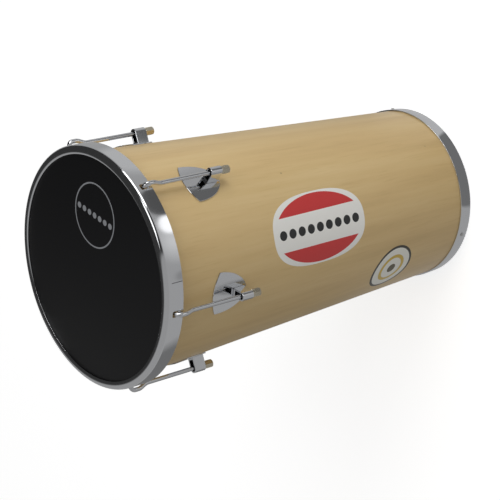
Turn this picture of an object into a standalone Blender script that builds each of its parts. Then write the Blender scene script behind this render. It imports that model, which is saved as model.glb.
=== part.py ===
"""A rebolo: a single-headed, slightly conical hand drum, stood on its open end.

Metres, +Z up. The drum's axis is Z and the head is on top, so every piece of the
head end is placed by its depth below the shell's upper edge.
"""

import math

import bmesh
import bpy
from mathutils import Matrix

# Driving dimensions of the shell
DRUM_HEIGHT = 0.5925
HEAD_END_DIAMETER = 0.3048
OPEN_END_DIAMETER = 0.2525
SHELL_WALL = 0.009
BEARING_EDGE_CHAMFER = 0.0012
BEARING_EDGE_SLOPE = 0.004

# The head: a flat skin over a ring that the tension hoop pulls down
SKIN_THICKNESS = 0.0012
FLESH_RING_WIDTH = 0.007
FLESH_RING_HEIGHT = 0.0042
FLESH_RING_CLEARANCE = 0.0008

# The tension hoop: a steel band with its front edge rolled inwards
HOOP_CLEARANCE = 0.0017
HOOP_THICKNESS = 0.0015
HOOP_WIDTH = 0.0223
LIP_RISE = 0.004
LIP_SHOULDER_WIDTH = 0.006
LIP_SHOULDER_DEPTH = 0.0009
LIP_REACH = 0.0117
LIP_INNER_DROP = 0.0009

# Six hooked tension rods
LUG_COUNT = 6
ROD_DIAMETER = 0.006
ROD_STANDOFF = 0.0003
HOOK_BAND_GAP = 0.002
HOOK_DEPTH = 0.0106
HOOK_BEND_RADIUS = 0.006
HOOK_TIP_REACH = 0.0048
HOOK_RAMP_START = 0.0157
HOOK_RAMP_END = 0.0003
SLOT_SIDE_GAP = 0.00125
SLOT_FRONT_ROOM = 0.0021
SLOT_REAR_GAP = 0.0006

# Lug plates, bent to the shell
PLATE_DEPTH = 0.0803
PLATE_HALF_WIDTH = 0.0288
PLATE_NOSE = 0.0092
PLATE_TAIL = 0.048
PLATE_THICKNESS = 0.0015
PLATE_TILTS_DEG = (0.0, 0.0, 0.0, 0.0, -5.0, 0.0)

# Rod brackets, hollow towards the head
BRACKET_SETBACK = 0.0342
BRACKET_LENGTH = 0.018
BRACKET_HALF_WIDTH = 0.006
BRACKET_WALL = 0.002
BRACKET_REAR_WALL = 0.003
BRACKET_FOOT = 0.003
ARCH_RISE = 0.0008
ROD_HOLE_GAP = 0.0004

# Cap nuts on the rods
NUT_ACROSS_FLATS = 0.0105
NUT_LENGTH = 0.0148
NUT_DOME = 0.0032
NUT_BORE_DEPTH = 0.0115
NUT_BORE_GAP = 0.0003
ROD_END_ROOM = 0.0015

# Bolts that hold each lug from inside
BOLT_DIAMETER = 0.006
BOLT_HOLE_GAP = 0.0003
BOLT_HEAD_ACROSS_FLATS = 0.010
BOLT_HEAD_HEIGHT = 0.004
WASHER_DIAMETER = 0.018
WASHER_THICKNESS = 0.0015

# The plain band at the open end, and its screws
BAND_WIDTH = 0.021
BAND_THICKNESS = 0.0017
SCREW_COUNT = 3
SCREW_START_DEG = -130.0
SCREW_HEAD_DIAMETER = 0.006
SCREW_HEAD_HEIGHT = 0.0016
SCREW_SHANK_DIAMETER = 0.003
SCREW_LENGTH = 0.007
SCREW_HOLE_GAP = 0.0003

# Gap left between pieces that touch
SEAT_GAP = 0.0003

# How finely round shapes are cut
TURN_STEPS = 72
LIP_STEPS = 5
NUT_STEPS = 24
HOLE_SIDES = 16
SMALL_HOLE_SIDES = 12
PLATE_STRIP = 0.006
OUTLINE_STEPS = 14
MERGE_DISTANCE = 0.00001
CUTTER_OVERRUN = 0.004

# Places worked out from the sizes above
EDGE_Z = DRUM_HEIGHT - LIP_RISE
HEAD_END_RADIUS = HEAD_END_DIAMETER / 2
OPEN_END_RADIUS = OPEN_END_DIAMETER / 2
TAPER = (HEAD_END_RADIUS - OPEN_END_RADIUS) / EDGE_Z
TAPER_ANGLE = math.atan(TAPER)
ROD_RADIUS = ROD_DIAMETER / 2
FLESH_INNER_RADIUS = HEAD_END_RADIUS + FLESH_RING_CLEARANCE
FLESH_OUTER_RADIUS = FLESH_INNER_RADIUS + FLESH_RING_WIDTH
HOOP_INNER_RADIUS = FLESH_OUTER_RADIUS + HOOP_CLEARANCE
HOOP_OUTER_RADIUS = HOOP_INNER_RADIUS + HOOP_THICKNESS
SKIN_BOTTOM_Z = EDGE_Z + SEAT_GAP
SKIN_TOP_Z = SKIN_BOTTOM_Z + SKIN_THICKNESS
ROD_CIRCLE_RADIUS = HOOP_OUTER_RADIUS + ROD_STANDOFF
HOOK_CREST_RADIUS = HOOP_OUTER_RADIUS + HOOK_BAND_GAP + ROD_RADIUS
BRACKET_DEPTH = PLATE_DEPTH + BRACKET_SETBACK
BOLT_DEPTH = BRACKET_DEPTH + BRACKET_LENGTH / 2
NUT_DEPTH = BRACKET_DEPTH + BRACKET_LENGTH + SEAT_GAP
ROD_END_DEPTH = NUT_DEPTH + NUT_BORE_DEPTH - ROD_END_ROOM


def shell_radius(depth):
    """Outer radius of the shell at a depth below its upper edge."""
    return HEAD_END_RADIUS - TAPER * depth


def plate_top_radius(depth):
    return shell_radius(depth) + SEAT_GAP + PLATE_THICKNESS


def height(depth):
    return EDGE_Z - depth


def remove_all_objects():
    for obj in list(bpy.data.objects):
        bpy.data.objects.remove(obj, do_unlink=True)


def new_collection(name, is_helper=False):
    collection = bpy.data.collections.new(name)
    bpy.context.scene.collection.children.link(collection)
    collection.hide_render = is_helper
    return collection


def new_material(name, colour, metallic, roughness):
    material = bpy.data.materials.new(name)
    material.use_nodes = True
    shader = material.node_tree.nodes["Principled BSDF"]
    shader.inputs["Base Color"].default_value = (*colour, 1.0)
    shader.inputs["Metallic"].default_value = metallic
    shader.inputs["Roughness"].default_value = roughness
    return material


def add_object(name, data, material=None, parent=None, helper=False):
    """Puts new object data in the drum's collection, or in the cutters' collection."""
    obj = bpy.data.objects.new(name, data)
    (CUTTERS if helper else DRUM).objects.link(obj)
    if helper:
        obj.hide_render = True
        obj.display_type = "WIRE"
    if material and not data.materials:
        data.materials.append(material)
    if parent:
        obj.parent = parent
    return obj


def mesh_from(bm, name):
    mesh = bpy.data.meshes.new(name)
    bm.to_mesh(mesh)
    bm.free()
    mesh.shade_smooth()
    mesh.set_sharp_from_angle(angle=math.radians(35))
    return mesh


def profile_mesh(name, points, is_closed):
    """A chain of edges in the XZ plane, for a Screw modifier to turn."""
    bm = bmesh.new()
    verts = [bm.verts.new((radius, 0.0, z)) for radius, z in points]
    for first, second in zip(verts, verts[1:]):
        bm.edges.new((first, second))
    if is_closed:
        bm.edges.new((verts[-1], verts[0]))
    mesh = bpy.data.meshes.new(name)
    bm.to_mesh(mesh)
    bm.free()
    return mesh


def turn(obj, steps):
    screw = obj.modifiers.new("turned", "SCREW")
    screw.axis = "Z"
    screw.angle = math.tau
    screw.steps = steps
    screw.render_steps = steps
    screw.use_merge_vertices = True
    screw.merge_threshold = MERGE_DISTANCE
    screw.use_smooth_shade = True


def turned(name, points, material=None, is_closed=True, steps=TURN_STEPS, helper=False):
    obj = add_object(name, profile_mesh(name, points, is_closed), material, helper=helper)
    turn(obj, steps)
    return obj


def cylinder_mesh(name, radius, bottom, top, sides, along_x=False):
    """A capped cylinder along Z between two heights, or along X between two radii."""
    bm = bmesh.new()
    bmesh.ops.create_cone(
        bm,
        cap_ends=True,
        segments=sides,
        radius1=radius,
        radius2=radius,
        depth=top - bottom,
        matrix=Matrix.Translation((0.0, 0.0, (top + bottom) / 2)),
    )
    if along_x:
        bmesh.ops.rotate(bm, verts=bm.verts, matrix=Matrix.Rotation(math.pi / 2, 3, "Y"))
    return mesh_from(bm, name)


def cut(obj, cutter, operation="DIFFERENCE"):
    boolean = obj.modifiers.new("cut_" + cutter.name, "BOOLEAN")
    boolean.operation = operation
    boolean.solver = "EXACT"
    boolean.object = cutter


def quarter_ellipse(centre, reach, rise, start_deg, end_deg, steps):
    """Points on an ellipse about centre, from one angle to another, both ends included."""
    points = []
    for step in range(steps + 1):
        angle = math.radians(start_deg + (end_deg - start_deg) * step / steps)
        x = centre[0] + reach * math.cos(angle)
        z = centre[1] + rise * math.sin(angle)
        points.append((x, z))
    return points


def outline_mesh(name, points, thickness):
    """A flat outline in its own XY plane, thickened evenly to both sides of it."""
    curve = bpy.data.curves.new(name, "CURVE")
    curve.dimensions = "2D"
    curve.fill_mode = "BOTH"
    curve.extrude = thickness / 2
    spline = curve.splines.new("POLY")
    spline.points.add(len(points) - 1)
    for point, (x, y) in zip(spline.points, points):
        point.co = (x, y, 0.0, 1.0)
    spline.use_cyclic_u = True
    guide = add_object(name + "_guide", curve, helper=True)
    graph = bpy.context.evaluated_depsgraph_get()
    mesh = bpy.data.meshes.new_from_object(guide.evaluated_get(graph))
    bpy.data.objects.remove(guide, do_unlink=True)
    bm = bmesh.new()
    bm.from_mesh(mesh)
    bmesh.ops.remove_doubles(bm, verts=bm.verts, dist=MERGE_DISTANCE)
    bmesh.ops.recalc_face_normals(bm, faces=bm.faces)
    bm.to_mesh(mesh)
    bm.free()
    return mesh


def lug_angle(index):
    return math.tau * index / LUG_COUNT


def place_on_shell(obj, depth):
    """Stands a piece made along X on the shell's outer face, square to the taper."""
    obj.location = (shell_radius(depth), 0.0, height(depth))
    obj.rotation_euler = (0.0, TAPER_ANGLE, 0.0)


def angle_empty(name, angle):
    empty = bpy.data.objects.new(name, None)
    DRUM.objects.link(empty)
    empty.rotation_euler = (0.0, 0.0, angle)
    empty.empty_display_size = HEAD_END_RADIUS
    return empty


def shell_profile():
    inner_top = HEAD_END_RADIUS - SHELL_WALL
    slope_depth = BEARING_EDGE_SLOPE
    return [
        (HEAD_END_RADIUS - BEARING_EDGE_CHAMFER, EDGE_Z),
        (shell_radius(BEARING_EDGE_CHAMFER / 2), height(BEARING_EDGE_CHAMFER / 2)),
        (OPEN_END_RADIUS, 0.0),
        (OPEN_END_RADIUS - SHELL_WALL, 0.0),
        (inner_top - TAPER * slope_depth, height(slope_depth)),
        (HEAD_END_RADIUS - SHELL_WALL / 2, EDGE_Z - BEARING_EDGE_CHAMFER / 2),
    ]


def hoop_profile():
    """The band's cross-section, down its outside and back up its inside."""
    shoulder_radius = HOOP_OUTER_RADIUS - LIP_SHOULDER_WIDTH
    shoulder_z = height(LIP_SHOULDER_DEPTH)
    outer_rise = LIP_RISE + LIP_SHOULDER_DEPTH
    inner_rise = outer_rise - HOOP_THICKNESS
    inner_reach = LIP_SHOULDER_WIDTH - HOOP_THICKNESS
    lip_reach = LIP_REACH - LIP_SHOULDER_WIDTH
    lip_top = shoulder_z + outer_rise
    lip_under = shoulder_z + inner_rise
    under_drop = LIP_INNER_DROP - SEAT_GAP
    outer_lip = quarter_ellipse(
        (shoulder_radius, lip_top - LIP_INNER_DROP), lip_reach, LIP_INNER_DROP, 180, 90, LIP_STEPS - 2
    )
    outer_shoulder = quarter_ellipse(
        (shoulder_radius, shoulder_z), LIP_SHOULDER_WIDTH, outer_rise, 90, 0, LIP_STEPS
    )
    inner_shoulder = quarter_ellipse(
        (shoulder_radius, shoulder_z), inner_reach, inner_rise, 0, 90, LIP_STEPS
    )
    inner_lip = quarter_ellipse(
        (shoulder_radius, lip_under - under_drop), lip_reach, under_drop, 90, 180, LIP_STEPS - 2
    )
    rear_edge = [
        (HOOP_OUTER_RADIUS, height(HOOP_WIDTH)),
        (HOOP_INNER_RADIUS, height(HOOP_WIDTH)),
    ]
    return outer_lip + outer_shoulder[1:] + rear_edge + inner_shoulder + inner_lip[1:]


def rod_path():
    """Radius and height of the rod's centre line, from its threaded end to the hook's tip."""
    ramp_low = HOOP_WIDTH + HOOK_RAMP_START
    ramp_high = HOOP_WIDTH - HOOK_RAMP_END
    path = [(ROD_CIRCLE_RADIUS, height(ROD_END_DEPTH))]
    ramp_steps = 5
    for step in range(ramp_steps + 1):
        share = step / ramp_steps
        ease = share * share * (3 - 2 * share)
        radius = ROD_CIRCLE_RADIUS + (HOOK_CREST_RADIUS - ROD_CIRCLE_RADIUS) * ease
        path.append((radius, height(ramp_low + (ramp_high - ramp_low) * share)))
    bend_centre = (
        HOOK_CREST_RADIUS - HOOK_BEND_RADIUS,
        height(HOOK_DEPTH + HOOK_BEND_RADIUS),
    )
    path += quarter_ellipse(bend_centre, HOOK_BEND_RADIUS, HOOK_BEND_RADIUS, 0, 90, 6)
    path.append((bend_centre[0] - HOOK_TIP_REACH, height(HOOK_DEPTH)))
    return path


def rod_curve(name):
    curve = bpy.data.curves.new(name, "CURVE")
    curve.dimensions = "3D"
    curve.bevel_depth = ROD_RADIUS
    curve.bevel_resolution = 2
    curve.use_fill_caps = True
    path = rod_path()
    spline = curve.splines.new("POLY")
    spline.points.add(len(path) - 1)
    for point, (radius, z) in zip(spline.points, path):
        point.co = (radius, 0.0, z, 1.0)
    return curve


def plate_outline():
    """Across and down: a bowed edge towards the head and a half ellipse behind it."""
    corner = PLATE_DEPTH + PLATE_NOSE
    points = []
    for step in range(OUTLINE_STEPS):
        across = -1 + 2 * step / OUTLINE_STEPS
        depth = PLATE_DEPTH + PLATE_NOSE * across * across
        points.append((PLATE_HALF_WIDTH * across, depth))
    for step in range(OUTLINE_STEPS):
        angle = math.pi * step / OUTLINE_STEPS
        across = PLATE_HALF_WIDTH * math.cos(angle)
        points.append((across, corner + PLATE_TAIL * math.sin(angle)))
    return points


def plate_mesh(name, tilt_deg):
    """The outline as one face, cut into strips, turned about the bolt and bent to the cone."""
    bm = bmesh.new()
    bm.faces.new([bm.verts.new((across, depth, 0.0)) for across, depth in plate_outline()])
    strips = math.ceil(PLATE_HALF_WIDTH / PLATE_STRIP)
    for step in range(1 - strips, strips):
        bmesh.ops.bisect_plane(
            bm,
            geom=bm.verts[:] + bm.edges[:] + bm.faces[:],
            dist=MERGE_DISTANCE,
            plane_co=(step * PLATE_STRIP, 0.0, 0.0),
            plane_no=(1.0, 0.0, 0.0),
        )
    tilt = math.radians(tilt_deg)
    for vert in bm.verts:
        across, down = vert.co.x, vert.co.y - BOLT_DEPTH
        turned_across = across * math.cos(tilt) + down * math.sin(tilt)
        depth = BOLT_DEPTH - across * math.sin(tilt) + down * math.cos(tilt)
        radius = shell_radius(depth) + SEAT_GAP
        angle = turned_across / radius
        vert.co = (radius * math.cos(angle), radius * math.sin(angle), height(depth))
    bmesh.ops.recalc_face_normals(bm, faces=bm.faces)
    if sum((face.normal.x * face.calc_area() for face in bm.faces)) < 0:
        bmesh.ops.reverse_faces(bm, faces=bm.faces)
    return mesh_from(bm, name)


def arch_outline(half_width, base_radius):
    """An upside-down U seen along the rod: two legs and a round top, as (radius, across)."""
    arch_centre = ROD_CIRCLE_RADIUS + ARCH_RISE
    points = [(base_radius, -half_width)]
    arc = quarter_ellipse((arch_centre, 0.0), half_width, half_width, -90, 90, 8)
    return points + arc + [(base_radius, half_width)]


def bracket_mesh():
    """A solid arch standing on the plate, with its foot cut to the plate's slope."""
    lowest = plate_top_radius(BRACKET_DEPTH + BRACKET_LENGTH)
    mesh = outline_mesh("bracket", arch_outline(BRACKET_HALF_WIDTH, lowest), BRACKET_LENGTH)
    middle_z = height(BOLT_DEPTH)
    bm = bmesh.new()
    bm.from_mesh(mesh)
    for vert in bm.verts:
        vert.co.z += middle_z
        if vert.co.x < lowest + MERGE_DISTANCE:
            vert.co.x = plate_top_radius(EDGE_Z - vert.co.z) + SEAT_GAP
    bm.to_mesh(mesh)
    bm.free()
    return mesh


def pocket_mesh():
    """The hollow inside the bracket, open towards the head."""
    floor = plate_top_radius(BRACKET_DEPTH) + SEAT_GAP + BRACKET_FOOT
    depth_room = BRACKET_LENGTH - BRACKET_REAR_WALL + CUTTER_OVERRUN
    mesh = outline_mesh(
        "bracket_pocket", arch_outline(BRACKET_HALF_WIDTH - BRACKET_WALL, floor), depth_room
    )
    top_z = height(BRACKET_DEPTH) + CUTTER_OVERRUN
    mesh.transform(Matrix.Translation((0.0, 0.0, top_z - depth_room / 2)))
    return mesh


def nut_profile():
    """Half a round-ended cylinder that trims the hexagon, down its outer side."""
    corner_radius = NUT_ACROSS_FLATS / math.sqrt(3) + MERGE_DISTANCE
    dome = quarter_ellipse((0.0, NUT_DOME - NUT_LENGTH), corner_radius, NUT_DOME, 0, -90, LIP_STEPS)
    return [(0.0, CUTTER_OVERRUN), (corner_radius, CUTTER_OVERRUN)] + dome


def hexagon_mesh(name, across_flats, bottom, top):
    return cylinder_mesh(name, across_flats / math.sqrt(3), bottom, top, 6)


def make_shell():
    shell = turned("shell", shell_profile(), WOOD)
    for index in range(LUG_COUNT):
        cutter = add_object(f"bolt_hole_{index + 1}", BOLT_HOLE, parent=LUG_FRAMES[index], helper=True)
        place_on_shell(cutter, BOLT_DEPTH)
        cut(shell, cutter)
    return shell


def make_head():
    skin_radius = FLESH_OUTER_RADIUS
    turned(
        "head_skin",
        [(0.0, SKIN_TOP_Z), (skin_radius - SKIN_THICKNESS / 2, SKIN_TOP_Z),
         (skin_radius, SKIN_TOP_Z - SKIN_THICKNESS / 2), (skin_radius, SKIN_BOTTOM_Z),
         (0.0, SKIN_BOTTOM_Z)],
        BLACK_SKIN,
        is_closed=False,
    )
    ring_top = EDGE_Z
    ring_bottom = EDGE_Z - FLESH_RING_HEIGHT
    turned(
        "flesh_ring",
        [(FLESH_OUTER_RADIUS, ring_top), (FLESH_OUTER_RADIUS, ring_bottom),
         (FLESH_INNER_RADIUS, ring_bottom), (FLESH_INNER_RADIUS, ring_top)],
        ALUMINIUM,
    )


def slot_mesh():
    """A box with rounded corners, cut through the band for a hook's tip."""
    front = height(HOOK_DEPTH - ROD_RADIUS - SLOT_FRONT_ROOM)
    rear = height(HOOK_DEPTH + ROD_RADIUS + SLOT_REAR_GAP)
    width = ROD_DIAMETER + 2 * SLOT_SIDE_GAP
    through = HOOP_THICKNESS + 2 * CUTTER_OVERRUN
    bm = bmesh.new()
    bmesh.ops.create_cube(bm, size=1.0)
    bmesh.ops.scale(bm, verts=bm.verts, vec=(through, width, front - rear))
    middle = (HOOP_INNER_RADIUS + HOOP_THICKNESS / 2, 0.0, (front + rear) / 2)
    bmesh.ops.translate(bm, verts=bm.verts, vec=middle)
    corners = [edge for edge in bm.edges if abs(edge.verts[0].co.x - edge.verts[1].co.x) > through / 2]
    bmesh.ops.bevel(bm, geom=corners, offset=width / 4, segments=2, profile=0.5, affect="EDGES", material=-1)
    return mesh_from(bm, "hook_slot")


def make_tension_hoop():
    hoop = turned("tension_hoop", hoop_profile(), CHROME)
    slot = slot_mesh()
    for index in range(LUG_COUNT):
        cut(hoop, add_object(f"hook_slot_{index + 1}", slot, parent=LUG_FRAMES[index], helper=True))


def make_rods():
    curve = rod_curve("tension_rod")
    for index in range(LUG_COUNT):
        add_object(f"tension_rod_{index + 1}", curve, ROD_CHROME, LUG_FRAMES[index])


def make_plates():
    for index in range(LUG_COUNT):
        mesh = plate_mesh(f"lug_plate_{index + 1}", PLATE_TILTS_DEG[index % len(PLATE_TILTS_DEG)])
        plate = add_object(f"lug_plate_{index + 1}", mesh, CHROME, LUG_FRAMES[index])
        wall = plate.modifiers.new("sheet", "SOLIDIFY")
        wall.thickness = PLATE_THICKNESS
        wall.offset = 1.0
        cutter = add_object(f"plate_hole_{index + 1}", BOLT_HOLE, parent=LUG_FRAMES[index], helper=True)
        place_on_shell(cutter, BOLT_DEPTH)
        cut(plate, cutter)


def make_brackets():
    body = bracket_mesh()
    pocket = pocket_mesh()
    rod_hole = cylinder_mesh(
        "rod_hole", ROD_RADIUS + ROD_HOLE_GAP, height(NUT_DEPTH + CUTTER_OVERRUN),
        height(BOLT_DEPTH), HOLE_SIDES
    )
    for index in range(LUG_COUNT):
        frame = LUG_FRAMES[index]
        bracket = add_object(f"rod_bracket_{index + 1}", body, CHROME, frame)
        cut(bracket, add_object(f"pocket_{index + 1}", pocket, parent=frame, helper=True))
        hole = add_object(f"rod_hole_{index + 1}", rod_hole, parent=frame, helper=True)
        hole.location.x = ROD_CIRCLE_RADIUS
        cut(bracket, hole)
        bolt_hole = add_object(f"foot_hole_{index + 1}", BOLT_HOLE, parent=frame, helper=True)
        place_on_shell(bolt_hole, BOLT_DEPTH)
        cut(bracket, bolt_hole)


def make_nuts():
    body = hexagon_mesh("tension_nut", NUT_ACROSS_FLATS, -NUT_LENGTH, 0.0)
    dome_mesh = profile_mesh("nut_dome", nut_profile(), is_closed=False)
    bore = cylinder_mesh(
        "nut_bore", ROD_RADIUS + NUT_BORE_GAP, -NUT_BORE_DEPTH, CUTTER_OVERRUN, HOLE_SIDES
    )
    for index in range(LUG_COUNT):
        frame = LUG_FRAMES[index]
        nut = add_object(f"tension_nut_{index + 1}", body, NUT_METAL, frame)
        dome = add_object(f"nut_dome_{index + 1}", dome_mesh, parent=frame, helper=True)
        turn(dome, NUT_STEPS)
        bore_cutter = add_object(f"nut_bore_{index + 1}", bore, parent=frame, helper=True)
        for piece in (nut, dome, bore_cutter):
            piece.location = (ROD_CIRCLE_RADIUS, 0.0, height(NUT_DEPTH))
        cut(nut, dome, "INTERSECT")
        cut(nut, bore_cutter)


def washer_seat():
    """How far inside the shell's outer face a flat washer lies, square on the curved wall."""
    inner_radius = shell_radius(BOLT_DEPTH) - SHELL_WALL
    half_width = WASHER_DIAMETER / 2
    sag = inner_radius - math.sqrt(inner_radius * inner_radius - half_width * half_width)
    return SHELL_WALL + sag + SEAT_GAP


def make_bolts():
    """A washer and a hexagon bolt inside the shell at each lug, the shank up into the foot."""
    seat = washer_seat()
    washer = cylinder_mesh("bolt_washer", WASHER_DIAMETER / 2, -seat - WASHER_THICKNESS, -seat, 20, True)
    head_top = -seat - WASHER_THICKNESS - SEAT_GAP
    shank_end = SEAT_GAP + PLATE_THICKNESS + SEAT_GAP + BRACKET_FOOT - SEAT_GAP
    shank = cylinder_mesh(
        "bolt_shank", BOLT_DIAMETER / 2, head_top - BOLT_HEAD_HEIGHT / 2, shank_end, HOLE_SIDES, True
    )
    head = cylinder_mesh(
        "lug_bolt", BOLT_HEAD_ACROSS_FLATS / math.sqrt(3), head_top - BOLT_HEAD_HEIGHT, head_top, 6, True
    )
    for index in range(LUG_COUNT):
        frame = LUG_FRAMES[index]
        ring = add_object(f"bolt_washer_{index + 1}", washer, STEEL, frame)
        bolt = add_object(f"lug_bolt_{index + 1}", head, STEEL, frame)
        stem = add_object(f"bolt_shank_{index + 1}", shank, parent=frame, helper=True)
        hole = add_object(f"washer_hole_{index + 1}", BOLT_HOLE, parent=frame, helper=True)
        for piece in (ring, bolt, stem, hole):
            place_on_shell(piece, BOLT_DEPTH)
        cut(ring, hole)
        cut(bolt, stem, "UNION")


def make_open_end_band(shell):
    """A plain band round the open end, held by round-headed screws into the shell."""
    top_depth = EDGE_Z - BAND_WIDTH
    inner_top = shell_radius(top_depth) + SEAT_GAP
    inner_bottom = OPEN_END_RADIUS + SEAT_GAP
    band = turned(
        "open_end_band",
        [(inner_top + BAND_THICKNESS, BAND_WIDTH), (inner_bottom + BAND_THICKNESS, 0.0),
         (inner_bottom, 0.0), (inner_top, BAND_WIDTH)],
        CHROME,
    )
    screw_depth = EDGE_Z - BAND_WIDTH / 2
    face = SEAT_GAP + BAND_THICKNESS + SEAT_GAP
    shank_radius = SCREW_SHANK_DIAMETER / 2
    head_bm = bmesh.new()
    bmesh.ops.create_cone(
        head_bm, cap_ends=True, segments=SMALL_HOLE_SIDES, radius1=SCREW_HEAD_DIAMETER / 2,
        radius2=SCREW_HEAD_DIAMETER / 4, depth=SCREW_HEAD_HEIGHT,
        matrix=Matrix.Translation((0.0, 0.0, face + SCREW_HEAD_HEIGHT / 2)),
    )
    bmesh.ops.rotate(head_bm, verts=head_bm.verts, matrix=Matrix.Rotation(math.pi / 2, 3, "Y"))
    head = mesh_from(head_bm, "band_screw")
    shank = cylinder_mesh(
        "screw_shank", shank_radius, face - SCREW_LENGTH, face + SCREW_HEAD_HEIGHT / 2,
        SMALL_HOLE_SIDES, True
    )
    hole = cylinder_mesh(
        "screw_hole", shank_radius + SCREW_HOLE_GAP, face - SCREW_LENGTH - SCREW_HOLE_GAP,
        face + CUTTER_OVERRUN, SMALL_HOLE_SIDES, True
    )
    for index in range(SCREW_COUNT):
        angle = math.radians(SCREW_START_DEG) + math.tau * index / SCREW_COUNT
        frame = angle_empty(f"screw_frame_{index + 1}", angle)
        screw = add_object(f"band_screw_{index + 1}", head, STEEL, frame)
        stem = add_object(f"screw_shank_{index + 1}", shank, parent=frame, helper=True)
        cutter = add_object(f"screw_hole_{index + 1}", hole, parent=frame, helper=True)
        for piece in (screw, stem, cutter):
            place_on_shell(piece, screw_depth)
        cut(screw, stem, "UNION")
        cut(band, cutter)
        cut(shell, cutter)


remove_all_objects()
DRUM = new_collection("rebolo_drum")
CUTTERS = new_collection("cutters", is_helper=True)

WOOD = new_material("pale_wood", (0.72, 0.55, 0.33), 0.0, 0.35)
CHROME = new_material("chrome", (0.82, 0.83, 0.85), 1.0, 0.12)
ROD_CHROME = new_material("rod_chrome", (0.75, 0.76, 0.78), 1.0, 0.2)
BLACK_SKIN = new_material("black_skin", (0.012, 0.012, 0.013), 0.0, 0.5)
NUT_METAL = new_material("nut_metal", (0.62, 0.55, 0.42), 1.0, 0.3)
STEEL = new_material("zinc_steel", (0.6, 0.6, 0.6), 1.0, 0.4)
ALUMINIUM = new_material("aluminium", (0.7, 0.7, 0.72), 1.0, 0.35)

LUG_FRAMES = [angle_empty(f"lug_frame_{index + 1}", lug_angle(index)) for index in range(LUG_COUNT)]
BOLT_HOLE = cylinder_mesh(
    "lug_bolt_hole", BOLT_DIAMETER / 2 + BOLT_HOLE_GAP, -SHELL_WALL - 2 * CUTTER_OVERRUN,
    2 * CUTTER_OVERRUN, HOLE_SIDES, True
)

drum_shell = make_shell()
make_head()
make_tension_hoop()
make_rods()
make_plates()
make_brackets()
make_nuts()
make_bolts()
make_open_end_band(drum_shell)
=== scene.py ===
# %% [markdown]
# A rebolo is a single-headed Brazilian hand drum. Its makers glue up thin layers of pale wood on a
# slightly tapered form, so the shell is a smooth cone with no staves. The skin is lapped on a metal
# ring. A chromed hoop pulls that ring down, and six hooked rods pull the hoop.
# The solids come from the CAD part. Most pieces that show get a finer mesh here, which takes the place of
# the solid and rides on the same body, so the drum still works when its joints move.

import math

import bmesh
import bpy
from mathutils import Matrix, Vector


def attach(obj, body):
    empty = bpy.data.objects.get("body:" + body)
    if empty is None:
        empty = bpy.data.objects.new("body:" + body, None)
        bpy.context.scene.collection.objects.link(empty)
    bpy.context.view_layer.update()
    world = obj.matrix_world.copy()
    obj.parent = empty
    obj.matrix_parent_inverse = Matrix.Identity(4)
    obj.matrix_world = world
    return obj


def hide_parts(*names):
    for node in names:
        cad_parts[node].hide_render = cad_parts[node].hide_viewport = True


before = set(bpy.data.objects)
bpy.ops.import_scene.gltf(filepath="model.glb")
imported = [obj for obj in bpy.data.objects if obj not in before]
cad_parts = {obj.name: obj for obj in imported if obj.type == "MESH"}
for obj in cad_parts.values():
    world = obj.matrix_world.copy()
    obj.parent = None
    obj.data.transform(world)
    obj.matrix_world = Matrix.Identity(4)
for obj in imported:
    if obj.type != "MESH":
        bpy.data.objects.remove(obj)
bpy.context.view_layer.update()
print("CAD nodes:", len(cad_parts))

# %% [markdown]
# Every size below is a real size in metres, and a depth is a distance below the shell's upper edge.
# The drum stands on its open end, so its axis is Z. The other pieces could each hold their own places,
# but they all sit on the shell's cone, so its radius at any depth is one function.

# %% The shell's cone
DRUM_HEIGHT = 0.5925
LIP_RISE = 0.004
EDGE_Z = DRUM_HEIGHT - LIP_RISE
HEAD_END_RADIUS = 0.1524
OPEN_END_RADIUS = 0.12625
TAPER = (HEAD_END_RADIUS - OPEN_END_RADIUS) / EDGE_Z
SEAT_GAP = 0.0003


def shell_radius(depth):
    """Outer radius of the shell at a depth below its upper edge."""
    return HEAD_END_RADIUS - TAPER * depth


def height(depth):
    """Height above the floor of a point at a depth below the shell's upper edge."""
    return EDGE_Z - depth


print("shell tapers by", round(math.degrees(math.atan(TAPER)), 2), "degrees")

# %% [markdown]
# A new mesh is finished in a fixed order. Its doubles are merged first, because a spin or a bridge can
# leave two points in one place. Only then can its faces be turned outward. Smooth shading with the
# sharp edges kept makes it look turned or pressed, where more faces would only make it heavier.

# %% Finish a mesh and hang it on its body
MERGE_DISTANCE = 0.00001
SHARP_EDGE_DEG = 35.0


def shade(mesh, sharp_deg):
    """Smooth shading that stops at the sharp edges."""
    mesh.shade_smooth()
    mesh.set_sharp_from_angle(angle=math.radians(sharp_deg))


def finish_mesh(bm, name, sharp_deg=SHARP_EDGE_DEG):
    """Merges doubles, turns the faces outward and stores the result as a smooth mesh."""
    bmesh.ops.remove_doubles(bm, verts=bm.verts, dist=MERGE_DISTANCE)
    bmesh.ops.recalc_face_normals(bm, faces=bm.faces)
    mesh = bpy.data.meshes.new(name)
    bm.to_mesh(mesh)
    bm.free()
    shade(mesh, sharp_deg)
    return mesh


def add_piece(name, mesh, material, body, replaced=()):
    """Puts a finished mesh on a CAD body, with the given material, and hides any CAD solids that it
    replaces.
    """
    obj = bpy.data.objects.new(name, mesh)
    bpy.context.scene.collection.objects.link(obj)
    mesh.materials.append(material)
    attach(obj, body)
    if replaced:
        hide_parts(*replaced)
    return obj


print("points within", MERGE_DISTANCE * 1000, "mm are merged")

# %% [markdown]
# The shell, the skin, the hoop and the open end's band are all turned shapes. Each could be a cylinder
# with its rings scaled, but a section that is spun once round the axis holds the whole profile in a few
# points, as a turner's template does. Rounded edges in a section are arcs.

# %% Spin a section round the drum's axis
ROUND_STEPS = 288


def arc(centre, reach, rise, start_deg, end_deg, steps):
    """Points on an ellipse about centre, both ends included."""
    points = []
    for step in range(steps + 1):
        angle = math.radians(start_deg + (end_deg - start_deg) * step / steps)
        points.append((centre[0] + reach * math.cos(angle), centre[1] + rise * math.sin(angle)))
    return points


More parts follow.
